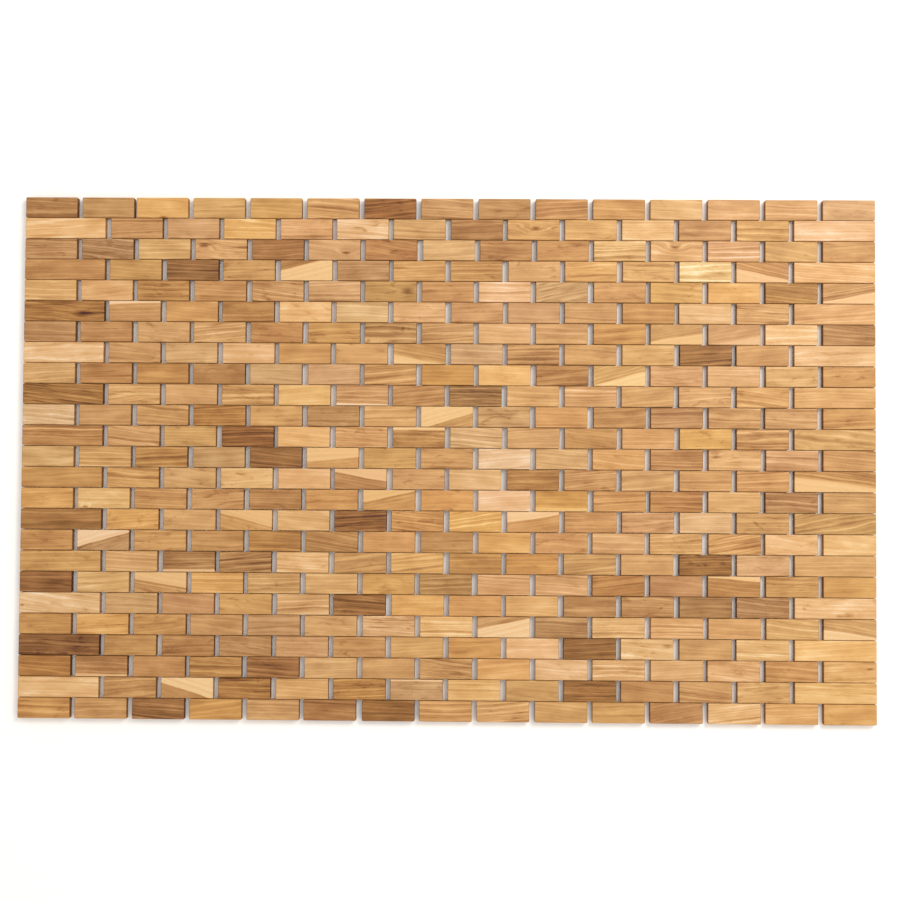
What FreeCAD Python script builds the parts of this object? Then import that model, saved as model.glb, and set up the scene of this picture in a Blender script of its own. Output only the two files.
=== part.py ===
import FreeCAD, Part
import os
import random

import Sketcher
from FreeCAD import Placement, Rotation, Vector

# Roll-up bath mat of small hardwood blocks, laid in brick bond and strung on elastic cords.
# +X runs along the rows, +Y from the front edge to the back, +Z up. The origin is the middle
# of the underside. Row 1 is the back row. Lengths are in millimetres.

SIZES = {
    "blocks_per_row": 15,  # in an odd row; an even row has a long block at each end
    "row_count": 25,
    "block_length": 49.0,
    "block_width": 19.2,
    "thickness": 8.0,
    "block_gap": 4.6,  # drain gap between two blocks of a row
    "seam_gap": 0.4,  # between two rows
    "edge_radius": 0.6,
    "block_slide": 0.5,  # the most that a block sits off its place along its row
    "back_row_slide": 2.3,  # of the back row's third block, to the left
    "cord_diameter": 2.2,
    "cord_clearance": 0.6,  # all round the cord in its bore
    "knot_diameter": 4.6,
    "knot_length": 3.4,
    "knot_rounding": 1.2,  # on the knot's outer end
    "knot_clearance": 0.3,  # all round the knot in its counterbore
    "knot_recess": 0.5,  # from the knot's outer end to the block's face
}

# Sizes that follow from those in the sheet, as expressions.
PITCH = "(Sizes.block_length + Sizes.block_gap)"
ROW_PITCH = "(Sizes.block_width + Sizes.seam_gap)"
LONG_BLOCK = f"(1.5 * {PITCH} - Sizes.block_gap)"
BORE = "(Sizes.cord_diameter + 2 * Sizes.cord_clearance)"
COUNTERBORE = "(Sizes.knot_diameter + 2 * Sizes.knot_clearance)"
SEAT = "(Sizes.block_width / 2 - Sizes.knot_length - Sizes.knot_recess)"  # knot's seat from mid-row
CORD_HEIGHT = "(Sizes.thickness / 2)"

BACK, FRONT = -1, 1  # the way a sketch on XZ_Plane faces is towards the front

doc = FreeCAD.newDocument("BathMat")


def make_sheet():
    sheet = doc.addObject("Spreadsheet::Sheet", "Sizes")
    for line, (name, value) in enumerate(SIZES.items(), 1):
        sheet.set(f"A{line}", name)
        sheet.set(f"B{line}", str(value))
        sheet.setAlias(f"B{line}", name)
    doc.recompute()
    return sheet


def bind(thing, **expressions):
    for path, expression in expressions.items():
        thing.setExpression(path.replace("__", "."), expression)


def end_sketch(body, name):
    """A sketch on the body's own XZ plane: its x is the mat's X and its y is the mat's Z."""
    sketch = body.newObject("Sketcher::SketchObject", name)
    plane = next(f for f in body.Origin.OriginFeatures if f.Role == "XZ_Plane")
    sketch.AttachmentSupport = (plane, [""])
    sketch.MapMode = "FlatFace"
    return sketch


def named(constraint, name):
    constraint.Name = name
    return constraint


def add_circles(sketch, centres, diameter):
    """Circles at cord height; centres and diameter are expressions. They are drawn roughly, then bound."""
    first = sketch.GeometryCount
    for number, centre in enumerate(centres):
        circle = first + number
        sketch.addGeometry(Part.Circle(Vector(10 * number, 4, 0), Vector(0, 0, 1), 1))
        sketch.addConstraint([
            named(Sketcher.Constraint("DistanceX", -1, 1, circle, 3, 10.0 * number), f"x_{number}"),
            named(Sketcher.Constraint("DistanceY", -1, 1, circle, 3, 4.0), f"height_{number}"),
            named(Sketcher.Constraint("Diameter", circle, 2.0), f"diameter_{number}"),
        ])
        bind(sketch, **{
            f"Constraints__x_{number}": centre,
            f"Constraints__height_{number}": CORD_HEIGHT,
            f"Constraints__diameter_{number}": diameter,
        })


def outer_edges(shape):
    """The twelve edges of a block's box, without the edges of its bores."""
    box = shape.BoundBox
    names = []
    for number, edge in enumerate(shape.Edges, 1):
        middle = edge.CenterOfMass
        gaps = [
            min(abs(middle.x - box.XMin), abs(middle.x - box.XMax)),
            min(abs(middle.y - box.YMin), abs(middle.y - box.YMax)),
            min(abs(middle.z - box.ZMin), abs(middle.z - box.ZMax)),
        ]
        if sum(gap < 1e-6 for gap in gaps) == 2:
            names.append(f"Edge{number}")
    return names


def make_block(name, length, slide, cord_offsets):
    """A bored block whose cords are at cord_offsets from its own origin, moved along X by slide."""
    body = doc.addObject("PartDesign::Body", name)
    profile = end_sketch(body, f"{name}_profile")
    # Drawn roughly: the expressions bound below set the real sizes.
    corners = [Vector(-20, 0, 0), Vector(20, 0, 0), Vector(20, 8, 0), Vector(-20, 8, 0)]
    profile.addGeometry([Part.LineSegment(corners[i], corners[(i + 1) % 4]) for i in range(4)])
    joins = [Sketcher.Constraint("Coincident", i, 2, (i + 1) % 4, 1) for i in range(4)]
    profile.addConstraint(joins + [
        Sketcher.Constraint("Horizontal", 0),
        Sketcher.Constraint("Vertical", 1),
        Sketcher.Constraint("Horizontal", 2),
        Sketcher.Constraint("Vertical", 3),
        Sketcher.Constraint("PointOnObject", 0, 1, -1),
        named(Sketcher.Constraint("DistanceX", -1, 1, 0, 1, -20.0), "left"),
        named(Sketcher.Constraint("DistanceX", 0, 1, 0, 2, 40.0), "length"),
        named(Sketcher.Constraint("DistanceY", 1, 1, 1, 2, 8.0), "thickness"),
    ])
    bind(
        profile,
        Constraints__left=f"{slide} - {length} / 2",
        Constraints__length=length,
        Constraints__thickness="Sizes.thickness",
    )
    add_circles(profile, cord_offsets, BORE)
    pad = body.newObject("PartDesign::Pad", f"{name}_pad")
    pad.Profile = profile
    pad.Midplane = True
    bind(pad, Length="Sizes.block_width")
    return body, pad


def round_edges(body, pad):
    rounding = body.newObject("PartDesign::Fillet", f"{body.Name}_rounding")
    rounding.Base = (pad, outer_edges(pad.Shape))
    bind(rounding, Radius="Sizes.edge_radius")


def counterbore(body, cord_offsets, side):
    """Pockets for the knots, in the face that looks to the mat's back or front."""
    sketch = end_sketch(body, f"{body.Name}_knot_seats")
    bind(sketch, AttachmentOffset__Base__z=f"{side} * {SEAT}")
    add_circles(sketch, cord_offsets, COUNTERBORE)
    pocket = body.newObject("PartDesign::Pocket", f"{body.Name}_counterbores")
    pocket.Profile = sketch
    pocket.Type = "ThroughAll"
    pocket.Reversed = side == FRONT
    return pocket


def row_plan(row, blocks_per_row):
    """The row's blocks, left to right: (long or not, centre in pitches, its cords' offsets in pitches)."""
    pair = [-0.25, 0.25]
    last = (blocks_per_row - 1) / 2
    if row % 2:
        return [(False, number - last, pair) for number in range(blocks_per_row)]
    inner = [(False, number + 1.5 - last, pair) for number in range(blocks_per_row - 3)]
    three = [-0.5, 0, 0.5]
    return [(True, 0.25 - last, three)] + inner + [(True, last - 0.25, three)]


def slide_of(row, number, count, chance):
    """How far along X the block sits off its place, as an expression. End blocks stay on the edge line."""
    share = chance.uniform(-1, 1)
    if number in (1, count):
        return "0"
    if row == 1 and number > 2:
        # The back row has only one neighbour to hold it: its third block has slid most, its last not at all.
        return f"-{(count - number) / (count - 3):.3f} * Sizes.back_row_slide"
    return f"{share:.2f} * Sizes.block_slide"


def make_block_row(row, sizes, chance):
    name = f"block_row_{row:02d}"
    plan = row_plan(row, sizes.blocks_per_row)
    blocks = []
    for number, (is_long, centre, cords) in enumerate(plan, 1):
        length = LONG_BLOCK if is_long else "Sizes.block_length"
        slide = slide_of(row, number, len(plan), chance)
        offsets = [f"{share} * {PITCH}" for share in cords]
        body, pad = make_block(f"{name}_{number:02d}", length, slide, offsets)
        bind(body, Placement__Base__x=f"{centre} * {PITCH}")
        blocks.append((body, pad, offsets))
    doc.recompute()
    for body, pad, _ in blocks:
        round_edges(body, pad)
    if row in (1, sizes.row_count):
        doc.recompute()
        solid = sum(body.Shape.Volume for body, _, _ in blocks)
        for body, _, offsets in blocks:
            counterbore(body, offsets, BACK if row == 1 else FRONT)
        doc.recompute()
        assert sum(body.Shape.Volume for body, _, _ in blocks) < solid, "the counterbores cut nothing"
    compound = doc.addObject("Part::Compound", name)
    compound.Links = [body for body, _, _ in blocks]
    return compound


def lay_along_y(cylinder, x, start):
    """Turns a cylinder so that it runs towards the front from start, which is measured along Y."""
    cylinder.Placement = Placement(Vector(), Rotation(Vector(1, 0, 0), 90))
    bind(cylinder, Placement__Base__x=x, Placement__Base__y=start, Placement__Base__z=CORD_HEIGHT)


def make_knot(name, x, side):
    knot = doc.addObject("Part::Cylinder", name)
    bind(knot, Radius="Sizes.knot_diameter / 2", Height="Sizes.knot_length")
    lay_along_y(knot, x, f"{SEAT} + Sizes.knot_length" if side == BACK else f"-{SEAT}")
    doc.recompute()
    outer = max(
        range(len(knot.Shape.Edges)),
        key=lambda number: (-side * knot.Shape.Edges[number].CenterOfMass.y, number),
    )
    rounded = doc.addObject("Part::Fillet", f"{name}_rounded")
    rounded.Base = knot
    radius = float(doc.Sizes.knot_rounding)
    rounded.Edges = [(outer + 1, radius, radius)]
    return rounded


def make_cord_row(row, sizes):
    """The stretch of every cord that lies in one row, with its knot in the first and last row."""
    name = f"cords_row_{row:02d}"
    side = {1: BACK, sizes.row_count: FRONT}.get(row)
    cord_count = 2 * sizes.blocks_per_row
    pieces = []
    for number in range(cord_count):
        x = f"{(number - (cord_count - 1) / 2) / 2} * {PITCH}"
        cord = doc.addObject("Part::Cylinder", f"{name}_{number + 1:02d}")
        bind(cord, Radius="Sizes.cord_diameter / 2")
        start = SEAT if side == BACK else "Sizes.block_width / 2"
        bind(cord, Height="Sizes.block_width" if side is None else f"Sizes.block_width / 2 + {SEAT}")
        lay_along_y(cord, x, start)
        if side is not None:
            tied = doc.addObject("Part::Fuse", f"{cord.Name}_tied")
            tied.Base = cord
            tied.Tool = make_knot(f"{cord.Name}_knot", x, side)
            cord = tied
        pieces.append(cord)
    compound = doc.addObject("Part::Compound", name)
    compound.Links = pieces
    return compound


def check(nodes):
    for thing in doc.Objects:
        if {"Invalid", "Error"} & set(thing.State):
            raise RuntimeError(f"{thing.Name} failed: {thing.State}")
    for node in nodes:
        if node.Shape.isNull() or not node.Shape.isValid():
            raise RuntimeError(f"{node.Label} has no valid shape")


def main():
    sizes = make_sheet()
    chance = random.Random(11)
    nodes = []
    for row in range(1, sizes.row_count + 1):
        from_middle = (sizes.row_count + 1) / 2 - row
        for node in (make_block_row(row, sizes, chance), make_cord_row(row, sizes)):
            bind(node, Placement__Base__y=f"{from_middle} * {ROW_PITCH}")
            nodes.append(node)
    doc.recompute()
    check(nodes)

    os.makedirs("parts", exist_ok=True)
    for node in nodes:
        node.Shape.exportStep(f"parts/{node.Label}.step")
    print(f"{len(nodes)} nodes, {sum(len(node.Shape.Solids) for node in nodes)} solids")


main()
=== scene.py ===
import math
import random
import bmesh
import bpy
import numpy as np
from mathutils import Matrix, Vector


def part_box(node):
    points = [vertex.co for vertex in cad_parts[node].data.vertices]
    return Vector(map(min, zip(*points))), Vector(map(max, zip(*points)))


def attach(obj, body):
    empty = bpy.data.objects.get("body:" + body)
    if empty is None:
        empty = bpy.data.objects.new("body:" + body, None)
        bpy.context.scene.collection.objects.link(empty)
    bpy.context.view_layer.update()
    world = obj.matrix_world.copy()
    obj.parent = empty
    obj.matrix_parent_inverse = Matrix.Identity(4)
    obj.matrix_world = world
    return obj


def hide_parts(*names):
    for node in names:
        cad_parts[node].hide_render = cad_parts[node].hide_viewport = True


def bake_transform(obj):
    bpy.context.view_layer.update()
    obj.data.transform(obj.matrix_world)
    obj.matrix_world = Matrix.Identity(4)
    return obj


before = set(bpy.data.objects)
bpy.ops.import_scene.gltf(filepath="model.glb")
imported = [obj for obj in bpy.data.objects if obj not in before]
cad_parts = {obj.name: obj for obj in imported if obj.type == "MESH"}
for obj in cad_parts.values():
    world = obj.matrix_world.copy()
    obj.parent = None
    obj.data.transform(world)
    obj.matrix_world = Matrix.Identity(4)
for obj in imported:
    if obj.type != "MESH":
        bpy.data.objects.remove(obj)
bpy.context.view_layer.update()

rowCount = sum(name.startswith("block_row_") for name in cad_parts)
turnToRows = Matrix.Rotation(math.radians(90), 4, "X")  # stands a flat outline up, to face along Y
print("frame loaded", len(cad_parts), "nodes")


# small helpers for node trees

def newMaterial(name):
    material = bpy.data.materials.new(name)
    material.use_nodes = True
    tree = material.node_tree
    tree.nodes.clear()
    shader = tree.nodes.new("ShaderNodeBsdfPrincipled")
    output = tree.nodes.new("ShaderNodeOutputMaterial")
    tree.links.new(shader.outputs["BSDF"], output.inputs["Surface"])
    return material, tree, shader


def plug(tree, socket, value):
    if isinstance(value, bpy.types.NodeSocket):
        tree.links.new(value, socket)
    else:
        socket.default_value = value


def calc(tree, operation, first, second=0.0, third=0.0, clamp=False):
    node = tree.nodes.new("ShaderNodeMath")
    node.operation = operation
    node.use_clamp = clamp
    for socket, value in zip(node.inputs, (first, second, third)):
        plug(tree, socket, value)
    return node.outputs["Value"]


def hypotenuse(tree, first, second):
    squares = calc(tree, "MULTIPLY_ADD", first, first, calc(tree, "MULTIPLY", second, second))
    return calc(tree, "SQRT", squares)


def stretch(tree, vector, scale, shift=(0.0, 0.0, 0.0)):
    node = tree.nodes.new("ShaderNodeMapping")
    node.inputs["Location"].default_value = shift
    node.inputs["Scale"].default_value = scale
    plug(tree, node.inputs["Vector"], vector)
    return node.outputs["Vector"]


def noise(tree, vector, detail=2.0, roughness=0.5, distortion=0.0):
    node = tree.nodes.new("ShaderNodeTexNoise")
    node.inputs["Scale"].default_value = 1.0
    node.inputs["Detail"].default_value = detail
    node.inputs["Roughness"].default_value = roughness
    node.inputs["Distortion"].default_value = distortion
    plug(tree, node.inputs["Vector"], vector)
    return node.outputs["Fac"]


def noiseAlong(tree, value, detail=2.0, roughness=0.5):
    node = tree.nodes.new("ShaderNodeTexNoise")
    node.noise_dimensions = "1D"
    node.inputs["Scale"].default_value = 1.0
    node.inputs["Detail"].default_value = detail
    node.inputs["Roughness"].default_value = roughness
    plug(tree, node.inputs["W"], value)
    return node.outputs["Fac"]


def ease(tree, value, low, high, toLow=0.0, toHigh=1.0):
    node = tree.nodes.new("ShaderNodeMapRange")
    node.interpolation_type = "SMOOTHSTEP"
    for name, number in (("From Min", low), ("From Max", high), ("To Min", toLow), ("To Max", toHigh)):
        plug(tree, node.inputs[name], number)
    plug(tree, node.inputs["Value"], value)
    return node.outputs["Result"]


def blendValues(tree, factor, first, second):
    node = tree.nodes.new("ShaderNodeMix")
    node.data_type = "FLOAT"
    for socket, value in zip((node.inputs[0], node.inputs[2], node.inputs[3]), (factor, first, second)):
        plug(tree, socket, value)
    return node.outputs[0]


def parts(tree, vector):
    node = tree.nodes.new("ShaderNodeSeparateXYZ")
    plug(tree, node.inputs["Vector"], vector)
    return node.outputs["X"], node.outputs["Y"], node.outputs["Z"]


def attribute(tree, name):
    node = tree.nodes.new("ShaderNodeAttribute")
    node.attribute_name = name
    return node.outputs["Vector"]


def linear(channel):
    level = channel / 255
    return level / 12.92 if level <= 0.04045 else ((level + 0.055) / 1.055) ** 2.4


def ramp(tree, value, stops, lift, gleam):
    node = tree.nodes.new("ShaderNodeValToRGB")
    node.color_ramp.interpolation = "LINEAR"
    elements = node.color_ramp.elements
    while len(elements) < len(stops):
        elements.new(0.5)
    for element, (place, colour) in zip(elements, stops):
        element.position = place
        element.color = [max(linear(channel) - gleam, 0.004) / lift for channel in colour] + [1.0]
    plug(tree, node.inputs["Fac"], value)
    return node.outputs["Color"]


teak = {  # oiled teak; sizes in mm, and "Along" in turns per mm along, across and down
    "lift": 1.17,  # how far the lamps lift the colours below
    "gleam": 0.034,  # what the polish adds to them
    "tones": [
        (0.00, (90, 60, 42)), (0.20, (128, 88, 58)), (0.46, (173, 124, 80)), (0.76, (218, 169, 114)),
        (0.90, (234, 190, 138)), (1.00, (246, 214, 172)),
    ],
    "ringGap": 2.7,  # one year's growth
    "ringUneven": (0.13, 2.6),  # how often the growth changes, and by how many rings
    "lateWood": (0.35, 0.93),  # where in a ring it darkens
    "wave": 7.0,  # how far the rings bend, slowly and quickly
    "waveAlong": (0.011, 0.10, 0.10),
    "ripple": 0.8,
    "rippleAlong": (0.038, 0.55, 0.55),
    "bandsAlong": 0.42,
    "fibreAlong": (0.04, 2.6, 2.6),
    "poreAlong": (0.26, 6.5, 6.5),
    "pores": (0.60, 0.74),  # noise between these two goes from plain wood to pore, and so on below
    "streakAlong": (0.016, 0.34, 0.34),
    "streakShift": (5.0, 90.0, 12.0),  # keeps the noises apart
    "streaks": (0.50, 0.72),
    "cloudAlong": (0.035, 0.09, 0.09),
    "cloudShift": (31.0, 7.0, 3.0),
    "smokeAlong": (0.07, 0.19, 0.19),
    "smokeShift": (70.0, 2.0, 40.0),
    "smoke": (0.54, 0.80),
    # what each of them does to the tone
    "bandTone": 0.50, "lateTone": -0.06, "fibreTone": 0.26, "cloudTone": 0.42, "smokeTone": -0.30,
    # the end faces are darker: partly the real darker end grain, partly painted shade of the shaded block
    # ends that face each other across the gaps
    "streakTone": -0.40, "poreTone": -0.07, "endGrainAndGapShadeTone": -0.26, "sapBandTone": 0.16,
    "endGrain": (0.75, 0.95),  # how squarely a face looks along the grain
    "sapRagged": 0.8,
    "sapFade": 1.3,
    "knotLong": 0.38,  # a knot looks longer along the grain
    "knotPull": (3.2, 4.5),  # how many knot sizes away it bends the rings, and by how much
    "knotRagged": 1.5,
    "knotRim": (0.7, 1.9),  # in knot sizes
    "knotTone": 0.42,
    "redGreen": -0.045,  # what one step of red does to the green and blue in the brown
    "redBlue": -0.12,
    "greyBlue": 0.075,
    "sapHue": -0.7,  # sapwood takes little of the red
    "roughness": 0.46,
    "roughFibre": 0.16, "roughPore": 0.14, "roughEndGrain": 0.15,
    "refraction": 1.45,
    "polish": 0.33,
    "bumpStrength": 0.55,
    "bumpDepth": 0.00012,  # metres
    "bumpPore": -0.9, "bumpFibre": 0.8, "bumpLate": 0.25,
}


def teakMaterial():
    material, tree, shader = newMaterial("teak")
    place = attribute(tree, "grainPlace")
    tone, hue, strength = parts(tree, attribute(tree, "woodTone"))
    streaks, grey, smokiness = parts(tree, attribute(tree, "woodFigure"))
    sapEdge, sapTone, _ = parts(tree, attribute(tree, "sapwood"))
    knotX, knotY, knotSize = parts(tree, attribute(tree, "knotPlace"))

    # rings about the log's heart, waved along the grain and swollen round a knot
    knotGap = hypotenuse(tree, calc(tree, "MULTIPLY", knotX, teak["knotLong"]), knotY)
    knotReach = calc(tree, "DIVIDE", knotGap, calc(tree, "MAXIMUM", knotSize, 0.01))
    pullReach, pullDepth = teak["knotPull"]
    knotPull = ease(tree, knotReach, 0.0, pullReach, 1.0, 0.0)
    x, y, z = parts(tree, place)
    heart = hypotenuse(tree, y, z)
    wave = noise(tree, stretch(tree, place, teak["waveAlong"]), 2.0)
    ripple = noise(tree, stretch(tree, place, teak["rippleAlong"]), 3.0)
    radius = calc(tree, "MULTIPLY_ADD", wave, teak["wave"], heart)
    radius = calc(tree, "MULTIPLY_ADD", ripple, teak["ripple"], radius)
    radius = calc(tree, "MULTIPLY_ADD", knotPull, pullDepth, radius)
    changes, unevenness = teak["ringUneven"]
    uneven = noiseAlong(tree, calc(tree, "MULTIPLY", radius, changes), 1.0)
    turns = calc(tree, "MULTIPLY_ADD", uneven, unevenness, calc(tree, "DIVIDE", radius, teak["ringGap"]))
    inRing = calc(tree, "FRACT", turns)
    lateFrom, lateTo = teak["lateWood"]
    darkening = ease(tree, inRing, lateFrom, lateTo)
    lateWood = calc(tree, "MULTIPLY", darkening, ease(tree, inRing, lateTo, 1.0, 1.0, 0.0))
    bands = noiseAlong(tree, calc(tree, "MULTIPLY", radius, teak["bandsAlong"]), 2.0, 0.6)
    bands = calc(tree, "SUBTRACT", bands, 0.5)

    fibre = noise(tree, stretch(tree, place, teak["fibreAlong"]), 4.0, 0.62)
    pores = ease(tree, noise(tree, stretch(tree, place, teak["poreAlong"]), 1.0), *teak["pores"])
    cloud = noise(tree, stretch(tree, place, teak["cloudAlong"], teak["cloudShift"]), 2.0)
    streakPlace = stretch(tree, place, teak["streakAlong"], teak["streakShift"])
    streak = ease(tree, noise(tree, streakPlace, 3.0, 0.6, 0.4), *teak["streaks"])
    smokePlace = stretch(tree, place, teak["smokeAlong"], teak["smokeShift"])
    smoke = ease(tree, noise(tree, smokePlace, 3.0, 0.55, 0.6), *teak["smoke"])

    level = calc(tree, "MULTIPLY", bands, teak["bandTone"])
    level = calc(tree, "MULTIPLY_ADD", lateWood, teak["lateTone"], level)
    level = calc(tree, "MULTIPLY_ADD", calc(tree, "SUBTRACT", fibre, 0.5), teak["fibreTone"], level)
    level = calc(tree, "MULTIPLY", level, strength)
    level = calc(tree, "ADD", level, tone)
    level = calc(tree, "MULTIPLY_ADD", calc(tree, "SUBTRACT", cloud, 0.5), teak["cloudTone"], level)
    level = calc(tree, "MULTIPLY_ADD", calc(tree, "MULTIPLY", smoke, smokiness), teak["smokeTone"], level)
    level = calc(tree, "MULTIPLY_ADD", calc(tree, "MULTIPLY", streak, streaks), teak["streakTone"], level)
    sapPlace = calc(tree, "MULTIPLY_ADD", fibre, teak["sapRagged"], radius)
    sap = ease(tree, sapPlace, sapEdge, calc(tree, "ADD", sapEdge, teak["sapFade"]))
    sapLevel = calc(tree, "MULTIPLY_ADD", bands, teak["sapBandTone"], sapTone)
    level = blendValues(tree, sap, level, sapLevel)
    level = calc(tree, "MULTIPLY_ADD", pores, teak["poreTone"], level)
    knotPlace = calc(tree, "MULTIPLY_ADD", ripple, teak["knotRagged"], knotReach)
    level = calc(tree, "SUBTRACT", level, ease(tree, knotPlace, *teak["knotRim"], teak["knotTone"], 0.0))

    normal = tree.nodes.new("ShaderNodeTexCoord").outputs["Normal"]
    across = calc(tree, "ABSOLUTE", parts(tree, normal)[0])
    endGrain = ease(tree, across, *teak["endGrain"])
    # end faces darkened: partly real darker end grain, partly painted shade of the shaded gap walls between
    # blocks
    level = calc(tree, "MULTIPLY_ADD", endGrain, teak["endGrainAndGapShadeTone"], level, clamp=True)
    colour = ramp(tree, level, teak["tones"], teak["lift"], teak["gleam"])

    # red, olive and grey shifts of the same brown
    split = tree.nodes.new("ShaderNodeSeparateColor")
    plug(tree, split.inputs["Color"], colour)
    join = tree.nodes.new("ShaderNodeCombineColor")
    plug(tree, join.inputs["Red"], split.outputs["Red"])
    hue = calc(tree, "MULTIPLY", hue, calc(tree, "MULTIPLY_ADD", sap, teak["sapHue"], 1.0))
    greenShare = calc(tree, "MULTIPLY_ADD", hue, teak["redGreen"], 1.0)
    plug(tree, join.inputs["Green"], calc(tree, "MULTIPLY", split.outputs["Green"], greenShare))
    blueShare = calc(tree, "MULTIPLY_ADD", hue, teak["redBlue"], 1.0)
    blueShare = calc(tree, "MULTIPLY_ADD", grey, teak["greyBlue"], blueShare)
    plug(tree, join.inputs["Blue"], calc(tree, "MULTIPLY", split.outputs["Blue"], blueShare))
    plug(tree, shader.inputs["Base Color"], join.outputs["Color"])

    sheen = calc(tree, "MULTIPLY_ADD", fibre, teak["roughFibre"], teak["roughness"])
    sheen = calc(tree, "MULTIPLY_ADD", pores, teak["roughPore"], sheen)
    sheen = calc(tree, "MULTIPLY_ADD", endGrain, teak["roughEndGrain"], sheen)
    plug(tree, shader.inputs["Roughness"], sheen)
    shader.inputs["IOR"].default_value = teak["refraction"]
    shader.inputs["Specular IOR Level"].default_value = teak["polish"]
    bump = tree.nodes.new("ShaderNodeBump")
    bump.inputs["Strength"].default_value = teak["bumpStrength"]
    bump.inputs["Distance"].default_value = teak["bumpDepth"]
    height = calc(tree, "MULTIPLY", fibre, teak["bumpFibre"])
    height = calc(tree, "MULTIPLY_ADD", pores, teak["bumpPore"], height)
    height = calc(tree, "MULTIPLY_ADD", lateWood, teak["bumpLate"], height)
    plug(tree, bump.inputs["Height"], height)
    plug(tree, shader.inputs["Normal"], bump.outputs["Normal"])
    return material


# blocks are named row.block, counted from the back row and from the left
wood = {
    "seed": 417,
    "usual": (0.69, 0.074),  # tone and its spread
    "usualRange": (0.52, 0.86),
    "darkerFromRow": 14,  # past this row the tone gets darker towards the front left corner
    "frontLeftDarkening": 0.10,
    "darkerUpToBlock": 11,  # block
    "hueSpread": 0.8,
    "greySpread": 1.0,
    "strength": (0.55, 0.95),  # least and what chance adds, for how marked the figure is
    "streakMost": 0.55,
    "slantSpread": 3.0,  # degrees, of the grain in the top face
    "dipSpread": 2.2,  # and out of it
    "heartAside": (18, 70),  # mm from the block to the log's heart
    "heartBelow": (6, 45),
    "logLength": 4000,
    "brownTone": (0.46, 0.55), "brownStrength": (0.8, 1.3),
    "walnutTone": (0.33, 0.42), "walnutStrength": (0.9, 1.5), "walnutStreaks": (0.1, 0.4),
    "paleTone": (0.83, 0.91), "paleStrength": (0.5, 0.8),
    "goldTone": (0.74, 0.80), "goldHue": 1.6, "goldGrey": -1.2,
    "redHue": (1.3, 2.4),
    "oliveHue": (-2.4, -1.5),
    "streakedShare": (0.7, 1.0), "streakedSlant": 6.0,
    "sapHeart": (55.0, 12.0),  # where the log's heart is for a block with sapwood
    "sapHalfBlock": (9.6, 4.0),  # mm, half a block's width and thickness
    "sapToneMost": 0.66,
    "noSap": (1000.0, 0.9),  # an edge too far away to show
    "noKnot": (500.0, 500.0, 0.5),
    "walnut": "1.7 4.3 8.12 10.8 12.4 13.5 16.6 18.12 19.1 20.6 22.1 22.10 23.5 24.10 25.3 25.7",
    "brown": "1.1 2.8 3.5 5.14 6.1 6.4 7.1 7.15 10.1 11.6 11.12 15.5 15.14 16.1 17.5 17.6 18.3 18.4 "
             "19.8 19.11 20.10 20.12 23.1 23.2 24.4",
    "pale": "2.1 2.11 2.14 7.14 8.1 8.4 8.14 9.9 12.5 13.9 15.2 15.9 17.14 17.15 20.1 20.14 22.9 22.11 "
            "22.14 24.1",
    "gold": "5.13 15.1 16.2 17.9 19.4 20.7 21.2",
    "red": "1.3 1.7 9.8 11.10 15.8 19.11 23.1",
    "olive": "5.10 6.6 9.5 11.1 19.8 20.12",
    "streaked": "3.4 5.10 6.1 6.13 10.1 12.8 15.4 16.6 17.13 18.4 18.12 21.7 24.4 24.10",
    # pale sapwood: its side, how far it reaches in mm, the grain's slant in degrees and its tone
    "sapwood": {
        (4, 5): (-1, 15, 14, 0.9), (4, 13): (-1, 8, -12, 0.88), (5, 15): (-1, 6, 10, 0.9),
        (6, 2): (1, 3, 1, 0.95), (7, 12): (-1, 6, 10, 0.86), (7, 13): (-1, 5, 12, 0.85),
        (8, 7): (-1, 5, -12, 0.9), (9, 11): (-1, 8, 14, 0.92), (10, 6): (-1, 3, 0, 0.95),
        (11, 8): (1, 13, 16, 0.9), (12, 7): (1, 4, 1, 0.92), (13, 2): (-1, 2, 0, 0.86),
        (13, 6): (1, 11, 3, 0.88), (14, 6): (1, 7, -10, 0.86), (14, 14): (-1, 9, -7, 0.88),
        (15, 7): (1, 7, 13, 0.84), (15, 10): (-1, 5, 0, 0.88), (16, 4): (1, 10, -16, 0.85),
        (16, 9): (1, 6, 9, 0.92), (17, 2): (1, 10, 16, 0.93), (18, 3): (-1, 3, 0, 0.86),
        (19, 3): (1, 10, -10, 0.86), (19, 13): (1, 3, -5, 0.9), (21, 9): (-1, 13, 12, 0.92),
        (21, 15): (-1, 6, -8, 0.92), (23, 2): (-1, 4, -1, 0.86), (24, 3): (1, 13, -18, 0.93),
        (24, 7): (1, 2, 0, 0.9),
    },
    # a knot: its place from the block's middle and its size, in mm
    "knots": {
        (1, 3): (1, -9, 2.0), (2, 9): (2, 1, 2.6), (3, 4): (-16, 4, 2.4), (3, 6): (11, -3, 2.0),
        (3, 12): (-2, 3, 2.2), (5, 7): (16, 0, 3.0), (6, 1): (18, -2, 4.0), (13, 13): (-18, 3, 2.4),
        (15, 2): (-17, -8, 1.2), (20, 1): (-35, -2, 1.0), (23, 15): (18, 3, 1.6),
    },
}


def named(kind):
    return {tuple(int(part) for part in word.split(".")) for word in wood[kind].split()}


kindNames = ("walnut", "brown", "pale", "gold", "red", "olive", "streaked")
kinds = {kind: named(kind) for kind in kindNames}


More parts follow.
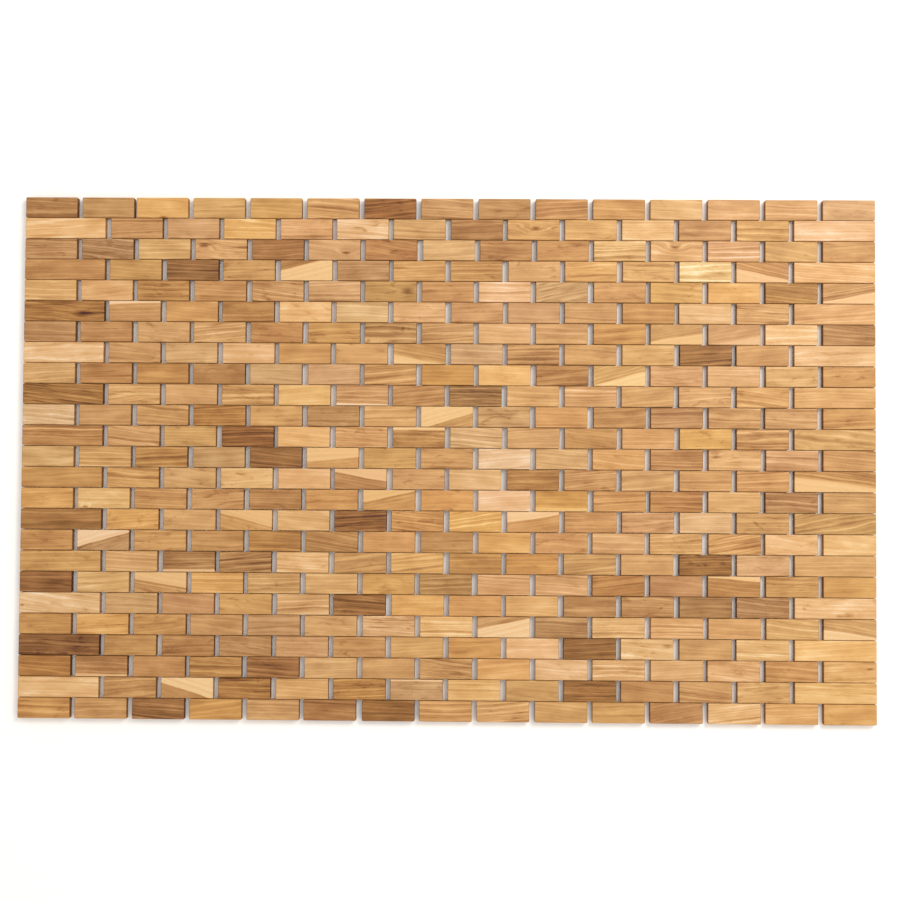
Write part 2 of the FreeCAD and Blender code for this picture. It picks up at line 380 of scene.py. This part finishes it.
def woodFor(row, number, draw):
    usual, spread = wood["usual"]
    tone = draw.gauss(usual, spread)
    hue = draw.gauss(0.0, wood["hueSpread"])
    grey = draw.gauss(0.0, wood["greySpread"])
    strength = wood["strength"][0] + wood["strength"][1] * draw.random() ** 2
    streaks = wood["streakMost"] * draw.random() ** 3
    slant = draw.gauss(0.0, wood["slantSpread"])
    heart = draw.choice((-1, 1)) * draw.uniform(*wood["heartAside"])
    depth = draw.uniform(*wood["heartBelow"])
    sapEdge, sapTone = wood["noSap"]
    smoke = draw.random() ** 1.5
    key = (row, number)
    knot = wood["knots"].get(key, wood["noKnot"])
    tone = min(max(tone, wood["usualRange"][0]), wood["usualRange"][1])
    # the tone gets darker towards the front left corner, past a given row and up to a given block
    towardsFront = max(0, row - wood["darkerFromRow"]) / (rowCount - wood["darkerFromRow"])
    tone -= wood["frontLeftDarkening"] * towardsFront * max(0, 1 - number / wood["darkerUpToBlock"])
    if key in kinds["brown"]:
        tone = draw.uniform(*wood["brownTone"])
        strength = draw.uniform(*wood["brownStrength"])
    if key in kinds["walnut"]:
        tone = draw.uniform(*wood["walnutTone"])
        strength = draw.uniform(*wood["walnutStrength"])
        streaks = draw.uniform(*wood["walnutStreaks"])
    if key in kinds["pale"]:
        tone = draw.uniform(*wood["paleTone"])
        strength = draw.uniform(*wood["paleStrength"])
    if key in kinds["gold"]:
        tone, hue, grey = draw.uniform(*wood["goldTone"]), wood["goldHue"], wood["goldGrey"]
    if key in kinds["red"]:
        hue = draw.uniform(*wood["redHue"])
    if key in kinds["olive"]:
        hue = draw.uniform(*wood["oliveHue"])
    if key in kinds["streaked"]:
        streaks = draw.uniform(*wood["streakedShare"])
        slant = draw.gauss(0.0, wood["streakedSlant"])
    if key in wood["sapwood"]:
        side, reach, slant, sapTone = wood["sapwood"][key]
        tone = min(tone, wood["sapToneMost"])
        aside, depth = wood["sapHeart"]
        heart = side * aside
        halfWidth, halfHeight = wood["sapHalfBlock"]
        usualBend = (teak["wave"] + teak["ripple"]) / 2
        sapEdge = math.hypot(aside + halfWidth - reach, depth + halfHeight) + usualBend
    return {
        "tone": tone, "hue": hue, "grey": grey, "strength": strength, "streaks": streaks, "slant": slant,
        "heart": heart, "depth": depth, "sapwood": (sapEdge, sapTone), "smoke": smoke, "knot": knot,
        "along": draw.uniform(0, wood["logLength"]), "dip": draw.gauss(0.0, wood["dipSpread"]),
    }


blockForm = {
    "edge": 0.0006,  # rounding of the outer edges
    "bore": 0.0034,
    "boreSides": 8,
    "knotSeatSides": 16,  # and of the bores behind a knot seat
    "knotSeat": 0.0052,
    "knotSeatDepth": 0.0039,
    "widthLoss": 0.00011,  # sanding differences, on each long side
    "lengthLoss": 0.00006,
    "heightLoss": 0.00012,
    "yaw": 0.05,  # degrees
    "touching": 2e-5,  # parts of one block are nearer to each other than this
    "lossLeast": 0.1,  # share of the width and height losses
    "heightLossLeast": 0.3,
}


def spansAlongX(node):
    mesh = node.data
    places = np.empty(len(mesh.vertices) * 3, np.float32)
    mesh.vertices.foreach_get("co", places)
    corners = np.empty(len(mesh.loops), np.int32)
    mesh.loops.foreach_get("vertex_index", corners)
    xs = places.reshape(-1, 3)[corners, 0].reshape(-1, 3)
    low, high = xs.min(axis=1), xs.max(axis=1)
    spans = []
    for index in np.argsort(low):
        if spans and low[index] <= spans[-1][1] + blockForm["touching"]:
            spans[-1][1] = max(spans[-1][1], float(high[index]))
        else:
            spans.append([float(low[index]), float(high[index])])
    return spans


def ringOfEdges(bm, x, y, z, radius, sides):
    made = bmesh.ops.create_circle(bm, cap_ends=False, segments=sides, radius=radius,
                                   matrix=Matrix.Translation((x, y, z)) @ turnToRows)
    return list({edge for vert in made["verts"] for edge in vert.link_edges})


def outline(bm, left, right, y, height):
    middle = Matrix.Translation(((left + right) / 2, y, height / 2))
    size = Matrix.Diagonal((right - left, height, 1, 1))
    made = bmesh.ops.create_grid(bm, x_segments=1, y_segments=1, size=0.5, matrix=middle @ turnToRows @ size)
    edges = list({edge for vert in made["verts"] for edge in vert.link_edges})
    filled = list({face for edge in edges for face in edge.link_faces})
    bmesh.ops.delete(bm, geom=filled, context="FACES_ONLY")
    return edges


def buildBlock(left, right, front, back, height, boreXs, boreZ, seatSide):
    bm = bmesh.new()
    ends, rims = {}, {}
    for name, y in (("front", front), ("back", back)):
        seat = name == seatSide
        ends[name] = outline(bm, left, right, y, height)
        width = blockForm["knotSeat"] if seat else blockForm["bore"]
        sides = blockForm["knotSeatSides"] if seatSide else blockForm["boreSides"]
        rims[name] = [ringOfEdges(bm, x, y, boreZ, width / 2, sides) for x in boreXs]
        loops = ends[name] + [edge for rim in rims[name] for edge in rim]
        bmesh.ops.triangle_fill(bm, use_beauty=True, use_dissolve=False, edges=loops)
    bmesh.ops.bridge_loops(bm, edges=ends["front"] + ends["back"])
    boxEdges = [edge for edge in bm.edges
                if not any(edge in rim for name in rims for rim in rims[name])
                and all(min(abs(vert.co.x - left), abs(vert.co.x - right)) < 1e-6 for vert in edge.verts)]
    boxEdges += [edge for name in ends for edge in ends[name] if edge not in boxEdges]
    boxEdges += [edge for edge in bm.edges
                 if edge not in boxEdges and len({round(vert.co.y, 6) for vert in edge.verts}) == 2]
    sharp = []
    for frontRim, backRim, x in zip(rims["front"], rims["back"], boreXs):
        sharp += frontRim + backRim
        if seatSide:
            seatRim, other = (frontRim, backRim) if seatSide == "front" else (backRim, frontRim)
            inward = blockForm["knotSeatDepth"] * (1 if seatSide == "front" else -1)
            wall = bmesh.ops.extrude_edge_only(bm, edges=seatRim)["geom"]
            floorVerts = [item for item in wall if isinstance(item, bmesh.types.BMVert)]
            bmesh.ops.translate(bm, verts=floorVerts, vec=(0, inward, 0))
            floorRim = [item for item in wall if isinstance(item, bmesh.types.BMEdge)]
            floorRim = [edge for edge in floorRim if all(vert in floorVerts for vert in edge.verts)]
            step = bmesh.ops.extrude_edge_only(bm, edges=floorRim)["geom"]
            stepVerts = [item for item in step if isinstance(item, bmesh.types.BMVert)]
            share = blockForm["bore"] / blockForm["knotSeat"]
            middle = Matrix.Translation((-x, 0, -boreZ))
            bmesh.ops.scale(bm, vec=(share, 1, share), space=middle, verts=stepVerts)
            stepRim = [item for item in step if isinstance(item, bmesh.types.BMEdge)]
            stepRim = [edge for edge in stepRim if all(vert in stepVerts for vert in edge.verts)]
            sharp += floorRim + stepRim
            bmesh.ops.bridge_loops(bm, edges=stepRim + other)
        else:
            bmesh.ops.bridge_loops(bm, edges=frontRim + backRim)
    for edge in sharp:
        edge.smooth = False
    bmesh.ops.recalc_face_normals(bm, faces=bm.faces)
    bmesh.ops.bevel(bm, geom=boxEdges, offset=blockForm["edge"], offset_type="OFFSET", affect="EDGES",
                    segments=1, profile=0.5, material=-1, clamp_overlap=True)
    bmesh.ops.recalc_face_normals(bm, faces=bm.faces)
    for face in bm.faces:
        face.smooth = True
    mesh = bpy.data.meshes.new("block")
    bm.to_mesh(mesh)
    bm.free()
    return mesh


def buildRow(row, teakFinish):
    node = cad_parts["block_row_%02d" % row]
    low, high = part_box(node.name)
    cords = [(span[0] + span[1]) / 2 for span in spansAlongX(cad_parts["cords_row_%02d" % row])]
    draw = random.Random(wood["seed"] * 100 + row)
    bm = bmesh.new()
    layers = {name: bm.verts.layers.float_vector.new(name)
              for name in ("grainPlace", "woodTone", "woodFigure", "sapwood", "knotPlace")}
    seatSide = {1: "back", rowCount: "front"}.get(row)
    for number, (left, right) in enumerate(spansAlongX(node), 1):
        grain = woodFor(row, number, draw)
        frontLoss = draw.uniform(blockForm["lossLeast"], 1.0) ** 2 * blockForm["widthLoss"]
        backLoss = draw.uniform(blockForm["lossLeast"], 1.0) ** 2 * blockForm["widthLoss"]
        heightLoss = draw.uniform(blockForm["heightLossLeast"], 1.0) * blockForm["heightLoss"]
        height = high[2] - low[2] - heightLoss
        boreXs = [x for x in cords if left < x < right]
        left, right = left + blockForm["lengthLoss"], right - blockForm["lengthLoss"]
        block = buildBlock(left, right, low[1] + frontLoss, high[1] - backLoss, height, boreXs,
                           (low[2] + high[2]) / 2, seatSide)
        middle = Vector(((left + right) / 2, (low[1] + high[1]) / 2, high[2] / 2))
        already = len(bm.verts)
        bm.from_mesh(block)
        bpy.data.meshes.remove(block)
        bm.verts.ensure_lookup_table()
        fresh = bm.verts[already:]
        # the block's axes inside the log
        turn = Matrix.Rotation(math.radians(grain["slant"]), 3, "Z")
        turn = (turn @ Matrix.Rotation(math.radians(grain["dip"]), 3, "Y")).transposed()
        offset = Vector((grain["along"], grain["heart"], grain["depth"]))
        knot = grain["knot"]
        for vert in fresh:
            fromMiddle = (vert.co - middle) * 1000
            vert[layers["grainPlace"]] = turn @ fromMiddle + offset
            vert[layers["woodTone"]] = (grain["tone"], grain["hue"], grain["strength"])
            vert[layers["woodFigure"]] = (grain["streaks"], grain["grey"], grain["smoke"])
            vert[layers["sapwood"]] = grain["sapwood"] + (0.0,)
            vert[layers["knotPlace"]] = (fromMiddle.x - knot[0], fromMiddle.y - knot[1], knot[2])
        yaw = math.radians(draw.gauss(0, 1) * blockForm["yaw"])
        bmesh.ops.rotate(bm, cent=middle, matrix=Matrix.Rotation(yaw, 3, "Z"), verts=fresh)
    mesh = bpy.data.meshes.new("teak_row_%02d" % row)
    bm.to_mesh(mesh)
    bm.free()
    mesh.materials.append(teakFinish)
    piece = bpy.data.objects.new(mesh.name, mesh)
    bpy.context.scene.collection.objects.link(piece)
    shading = piece.modifiers.new("flatFaces", "WEIGHTED_NORMAL")
    shading.keep_sharp = True
    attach(piece, "row_%02d" % row)
    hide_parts(node.name)


teakFinish = teakMaterial()
for row in range(1, rowCount + 1):
    buildRow(row, teakFinish)
print("block rows done")


cordForm = {
    "diameter": 0.0022,
    "sides": 6,
    "seamRings": (0.0002, 0.0001, 0.0, -0.0001, -0.0002),
    "braidPitch": 0.0016,
    "strands": 4,
    # the braid's grooves take the darker brown and its crests the lighter one below: painted shade and
    # painted light of the braid's relief
    "brown": (0.030, 0.019, 0.012),
    "litCrestBrown": (0.085, 0.058, 0.038),
    "knotSize": 0.0046,
    "knotLength": 0.0034,
    "knotRecess": 0.0005,
    "pulledRadius": 0.00085,  # the cord's own, pulled tight in the knot
    "knotPoints": 24,
    "throat": 0.001,  # how far the cord reaches into its knot, on either side
    "tailThickness": 0.8,  # share of the cord's own
    "tailLength": 0.0004,  # past the knot, still inside the block's face
    "tailRounding": 0.0002,
    "tailTip": 0.6,  # share of the tail's thickness
    "roundness": 2,  # of the cord in the knot, as bevel steps
    "lintAlong": (30.0, 9.0, 1.0),
    "lintLight": 0.7,
    # how the braid's relief maps to colour: painted light on the strands' crests, painted shade in the
    # grooves between them
    "braidGrooveShading": (-0.4, 1.0, 0.0, 0.75),
    "roughness": 0.72,
    "lintRough": 0.2,
    "sheen": 0.12,
    "bumpStrength": 0.7,
    "bumpDepth": 0.00015,
}


def cordMaterial():
    material, tree, shader = newMaterial("elastic_cord")
    uv = tree.nodes.new("ShaderNodeTexCoord").outputs["UV"]
    around, along, _ = parts(tree, uv)
    strands = calc(tree, "MULTIPLY", around, cordForm["strands"])
    crossings = [calc(tree, operation, strands, along) for operation in ("ADD", "SUBTRACT")]
    hands = [calc(tree, "SINE", calc(tree, "MULTIPLY", turn, 2 * math.pi)) for turn in crossings]
    braid = calc(tree, "MAXIMUM", hands[0], hands[1])
    lint = noise(tree, stretch(tree, uv, cordForm["lintAlong"]), 3.0, 0.7)
    # colour follows the braid's relief, as painted light on the crests and painted shade in the grooves,
    # plus real lint
    braidShadeAndLint = ease(tree, braid, *cordForm["braidGrooveShading"])
    lintShade = calc(tree, "SUBTRACT", lint, 0.5)
    braidShadeAndLint = calc(tree, "MULTIPLY_ADD", lintShade, cordForm["lintLight"], braidShadeAndLint, clamp=True)
    mix = tree.nodes.new("ShaderNodeMix")
    mix.data_type = "RGBA"
    plug(tree, mix.inputs[0], braidShadeAndLint)
    mix.inputs[6].default_value = cordForm["brown"] + (1.0,)
    mix.inputs[7].default_value = cordForm["litCrestBrown"] + (1.0,)
    plug(tree, shader.inputs["Base Color"], mix.outputs[2])
    roughness = calc(tree, "MULTIPLY_ADD", lint, cordForm["lintRough"], cordForm["roughness"])
    plug(tree, shader.inputs["Roughness"], roughness)
    shader.inputs["Sheen Weight"].default_value = cordForm["sheen"]
    bump = tree.nodes.new("ShaderNodeBump")
    bump.inputs["Strength"].default_value = cordForm["bumpStrength"]
    bump.inputs["Distance"].default_value = cordForm["bumpDepth"]
    plug(tree, bump.inputs["Height"], braid)
    plug(tree, shader.inputs["Normal"], bump.outputs["Normal"])
    return material


def wrapUv(bm, centreX, centreZ, layer):
    for face in bm.faces:
        middle = face.calc_center_median()
        facing = math.atan2(middle.z - centreZ, middle.x - centreX)
        for loop in face.loops:
            angle = math.atan2(loop.vert.co.z - centreZ, loop.vert.co.x - centreX)
            angle += 2 * math.pi * round((facing - angle) / (2 * math.pi))
            loop[layer].uv = (angle / (2 * math.pi), loop.vert.co.y / cordForm["braidPitch"])


def cordRun(ys, radii, height):
    bm = bmesh.new()
    layer = bm.loops.layers.uv.new("braid")
    rim = ringOfEdges(bm, 0, ys[0], height, radii[0], cordForm["sides"])
    rims = [rim]
    for y, previous, radius, before in zip(ys[1:], ys, radii[1:], radii):
        grown = bmesh.ops.extrude_edge_only(bm, edges=rims[-1])["geom"]
        verts = [item for item in grown if isinstance(item, bmesh.types.BMVert)]
        bmesh.ops.translate(bm, verts=verts, vec=(0, y - previous, 0))
        share = radius / before
        bmesh.ops.scale(bm, vec=(share, 1, share), space=Matrix.Translation((0, 0, -height)), verts=verts)
        edges = [item for item in grown if isinstance(item, bmesh.types.BMEdge)]
        rims.append([edge for edge in edges if all(vert in verts for vert in edge.verts)])
    for edges in (rims[0], rims[-1]):
        bmesh.ops.contextual_create(bm, geom=edges)
    bmesh.ops.recalc_face_normals(bm, faces=bm.faces)
    for face in bm.faces:
        face.smooth = len(face.verts) == 4
    wrapUv(bm, 0, height, layer)
    mesh = bpy.data.meshes.new("run")
    bm.to_mesh(mesh)
    bm.free()
    return mesh


def repeated(name, meshes, xs, finish):
    bm = bmesh.new()
    for x in xs:
        for mesh in meshes:
            already = len(bm.verts)
            bm.from_mesh(mesh)
            bm.verts.ensure_lookup_table()
            bmesh.ops.translate(bm, verts=bm.verts[already:], vec=(x, 0, 0))
    joined = bpy.data.meshes.new(name)
    bm.to_mesh(joined)
    bm.free()
    joined.materials.append(finish)
    piece = bpy.data.objects.new(name, joined)
    bpy.context.scene.collection.objects.link(piece)
    return piece


def rowMiddle(row):
    low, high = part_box("block_row_%02d" % row)
    return (low[1] + high[1]) / 2, low[1], high[1], (low[2] + high[2]) / 2


cordXs = [(span[0] + span[1]) / 2 for span in spansAlongX(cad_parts["cords_row_01"])]
cordFinish = cordMaterial()
cordRadius = cordForm["diameter"] / 2
for row in range(1, rowCount):
    middle, front, _, height = rowMiddle(row)
    nextMiddle, _, nextBack, _ = rowMiddle(row + 1)
    seam = (front + nextBack) / 2
    ys = [middle] + [seam + offset for offset in cordForm["seamRings"]] + [nextMiddle]
    run = cordRun(ys, [cordRadius] * len(ys), height)
    piece = repeated("cord_seam_%02d_%02d" % (row, row + 1), [run], cordXs, cordFinish)
    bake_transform(piece)
    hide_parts("cords_row_%02d" % row)
    bpy.data.meshes.remove(run)
print("cords done")


def overhandKnot(seat, outward, height):
    curve = bpy.data.curves.new("knotPath", "CURVE")
    curve.dimensions = "3D"
    curve.bevel_depth = cordForm["pulledRadius"]
    curve.bevel_resolution = cordForm["roundness"]
    spline = curve.splines.new("POLY")
    count = cordForm["knotPoints"]
    spline.points.add(count - 1)
    across = (cordForm["knotSize"] / 2 - curve.bevel_depth) / 3
    rise = cordForm["knotLength"] / 2 - curve.bevel_depth
    for index, point in enumerate(spline.points):
        t = 2 * math.pi * index / count
        x = (math.sin(t) + 2 * math.sin(2 * t)) * across
        z = (math.cos(t) - 2 * math.cos(2 * t)) * across
        y = seat + outward * (cordForm["knotLength"] / 2 - math.sin(3 * t) * rise)
        point.co = (x, y, height + z, 1)
    spline.use_cyclic_u = True
    holder = bpy.data.objects.new("knotPath", curve)
    bpy.context.scene.collection.objects.link(holder)
    bpy.context.view_layer.update()
    mesh = bpy.data.meshes.new_from_object(holder)
    bpy.data.objects.remove(holder)
    bm = bmesh.new()
    bm.from_mesh(mesh)
    layer = bm.loops.layers.uv.verify()
    bmesh.ops.recalc_face_normals(bm, faces=bm.faces)
    for face in bm.faces:
        face.smooth = True
        for loop in face.loops:
            place = loop.vert.co / cordForm["braidPitch"]
            loop[layer].uv = (place.x + 0.7 * place.z, place.y)
    bm.to_mesh(mesh)
    bm.free()
    mesh.materials.clear()
    return mesh


for name, row, outward in (("cord_ends_back", 1, 1), ("cord_ends_front", rowCount, -1)):
    middle, front, back, height = rowMiddle(row)
    face = back if outward > 0 else front
    seat = face - outward * (cordForm["knotLength"] + cordForm["knotRecess"])
    knot = overhandKnot(seat, outward, height)
    inner = cordRun([middle, seat + outward * cordForm["throat"]], [cordRadius] * 2, height)
    knotEnd = seat + outward * cordForm["knotLength"]
    tailRadius = cordRadius * cordForm["tailThickness"]
    tip = knotEnd + outward * cordForm["tailLength"]
    tail = cordRun([knotEnd - outward * cordForm["throat"], tip - outward * cordForm["tailRounding"], tip],
                   [tailRadius, tailRadius, tailRadius * cordForm["tailTip"]], height)
    piece = repeated(name, [inner, knot, tail], cordXs, cordFinish)
    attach(piece, "row_%02d" % row)
    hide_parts("cords_row_%02d" % row)
print("knots done")


studio = {
    "floor": (0.94, 0.905, 0.855),
    "floorRoughness": 0.9,
    "floorHalfSize": 6.0,
    "floorDrop": -0.0003,
    "skyStrength": 0.84,
    "overheadPlace": (0, 0, 3),
    "overheadTurn": (-4, 4),  # degrees from straight down
    "overheadSpread": 28,
    "overheadStrength": 0.38,
    "keyPlace": (0.72, 0.64, 1.35),
    "keyAim": (-0.05, 0.0, 0.0),
    "keySize": 0.75,
    "keyPower": 13.0,
    "lens": 59.56,
    "cameraPlace": (0.0239, -0.0429, 1.40),
    "cameraTurn": (2.101, 0.857, 0.393),
}

floorMaterial, floorTree, floorShader = newMaterial("paleFloor")
floorShader.inputs["Base Color"].default_value = studio["floor"] + (1.0,)
floorShader.inputs["Roughness"].default_value = studio["floorRoughness"]
bm = bmesh.new()
bmesh.ops.create_grid(bm, x_segments=1, y_segments=1, size=studio["floorHalfSize"],
                      matrix=Matrix.Translation((0, 0, studio["floorDrop"])))
floorMesh = bpy.data.meshes.new("floor")
bm.to_mesh(floorMesh)
bm.free()
floorMesh.materials.append(floorMaterial)
floor = bpy.data.objects.new("floor", floorMesh)
bpy.context.scene.collection.objects.link(floor)

world = bpy.data.worlds.new("studioSky")
bpy.context.scene.world = world
world.use_nodes = True
sky = world.node_tree.nodes["Background"]
sky.inputs["Color"].default_value = (1, 1, 1, 1)
sky.inputs["Strength"].default_value = studio["skyStrength"]

keyData = bpy.data.lights.new("keyLamp", "AREA")
keyData.shape = "DISK"
keyData.size = studio["keySize"]
keyData.energy = studio["keyPower"]
key = bpy.data.objects.new("keyLamp", keyData)
key.location = studio["keyPlace"]
keyAim = Vector(studio["keyAim"]) - Vector(studio["keyPlace"])
key.rotation_euler = keyAim.to_track_quat("-Z", "Y").to_euler()
overheadData = bpy.data.lights.new("overheadLamp", "SUN")
overheadData.energy = studio["overheadStrength"]
overheadData.angle = math.radians(studio["overheadSpread"])
overhead = bpy.data.objects.new("overheadLamp", overheadData)
overhead.location = studio["overheadPlace"]
overhead.rotation_euler = [math.radians(angle) for angle in studio["overheadTurn"] + (0,)]
for lamp in (key, overhead):
    bpy.context.scene.collection.objects.link(lamp)

cameraData = bpy.data.cameras.new("camera")
cameraData.sensor_width = 36
cameraData.lens = studio["lens"]
cameraData.clip_start = 0.01
camera = bpy.data.objects.new("camera", cameraData)
camera.location = studio["cameraPlace"]
camera.rotation_euler = [math.radians(angle) for angle in studio["cameraTurn"]]
bpy.context.scene.collection.objects.link(camera)
bpy.context.scene.camera = camera
bpy.context.scene.view_settings.view_transform = "Standard"
print("studio done")
